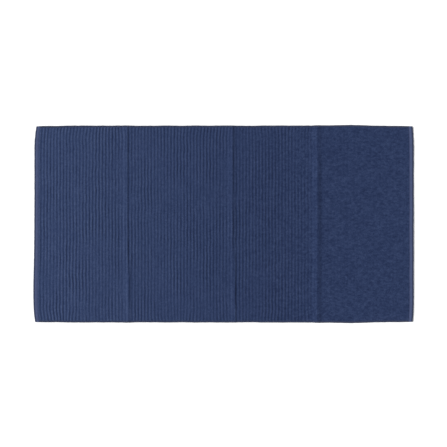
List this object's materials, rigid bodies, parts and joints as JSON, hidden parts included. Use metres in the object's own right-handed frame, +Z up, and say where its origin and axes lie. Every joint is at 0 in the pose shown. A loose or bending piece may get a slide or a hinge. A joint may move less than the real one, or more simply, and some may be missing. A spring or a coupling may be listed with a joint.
{
  "type": "bath towel",
  "caption": "Rectangular terry bath towel laid flat, with low ribs across its width, turned hems all round and storage creases that fold.",
  "frame": {"origin": "on the surface that the towel lies on, under the middle of its outline", "axes": "+X along the towel's length, away from the end whose panel is ribbed, +Y across its width, +Z up out of the ribbed face"},
  "size_m": [1.35, 0.7, 0.0046],
  "materials": {
    "ribbed_terry": "navy cotton terry loops in low ribs, matt",
    "plain_terry": "navy cotton terry loops, plain, matt",
    "end_hem": "flat-woven navy cotton, slightly lighter",
    "side_hem": "flat-woven navy cotton",
    "sewing_thread": "navy sewing thread, faint sheen",
    "care_label": "blank white satin tape"
  },
  "bodies": {
    "panel_1": {"ribbed_terry_1": "ribbed_terry", "side_hem_back_1": "side_hem", "needle_thread_back_1": "sewing_thread", "bobbin_thread_back_1": "sewing_thread", "side_hem_front_1": "side_hem", "needle_thread_front_1": "sewing_thread", "bobbin_thread_front_1": "sewing_thread", "end_hem_left": "end_hem", "needle_thread_left": "sewing_thread", "bobbin_thread_left": "sewing_thread"},
    "panel_2": {"ribbed_terry_2": "ribbed_terry", "side_hem_back_2": "side_hem", "needle_thread_back_2": "sewing_thread", "bobbin_thread_back_2": "sewing_thread", "side_hem_front_2": "side_hem", "needle_thread_front_2": "sewing_thread", "bobbin_thread_front_2": "sewing_thread"},
    "panel_3": {"ribbed_terry_3": "ribbed_terry", "side_hem_back_3": "side_hem", "needle_thread_back_3": "sewing_thread", "bobbin_thread_back_3": "sewing_thread", "side_hem_front_3": "side_hem", "needle_thread_front_3": "sewing_thread", "bobbin_thread_front_3": "sewing_thread"},
    "panel_4": {"plain_terry_4": "plain_terry", "side_hem_back_4": "side_hem", "needle_thread_back_4": "sewing_thread", "bobbin_thread_back_4": "sewing_thread", "side_hem_front_4": "side_hem", "needle_thread_front_4": "sewing_thread", "bobbin_thread_front_4": "sewing_thread", "end_hem_right": "end_hem", "needle_thread_right": "sewing_thread", "bobbin_thread_right": "sewing_thread", "care_label": "care_label"}
  },
  "joints": [
    {"name": "crease_1_fold", "type": "hinge", "parent": "panel_2", "child": "panel_1", "pos_m": [-0.3425, 0, 0.0071], "axis": [0, 1, 0], "range_deg": [0, 179.8]},
    {"name": "crease_2_fold", "type": "hinge", "parent": "panel_2", "child": "panel_3", "pos_m": [0.033, 0, 0.0119], "axis": [0, -1, 0], "range_deg": [0, 179.8]},
    {"name": "crease_3_fold", "type": "hinge", "parent": "panel_3", "child": "panel_4", "pos_m": [0.334, 0, -0.0025], "axis": [0, 1, 0], "range_deg": [0, 179.8]}
  ]
}
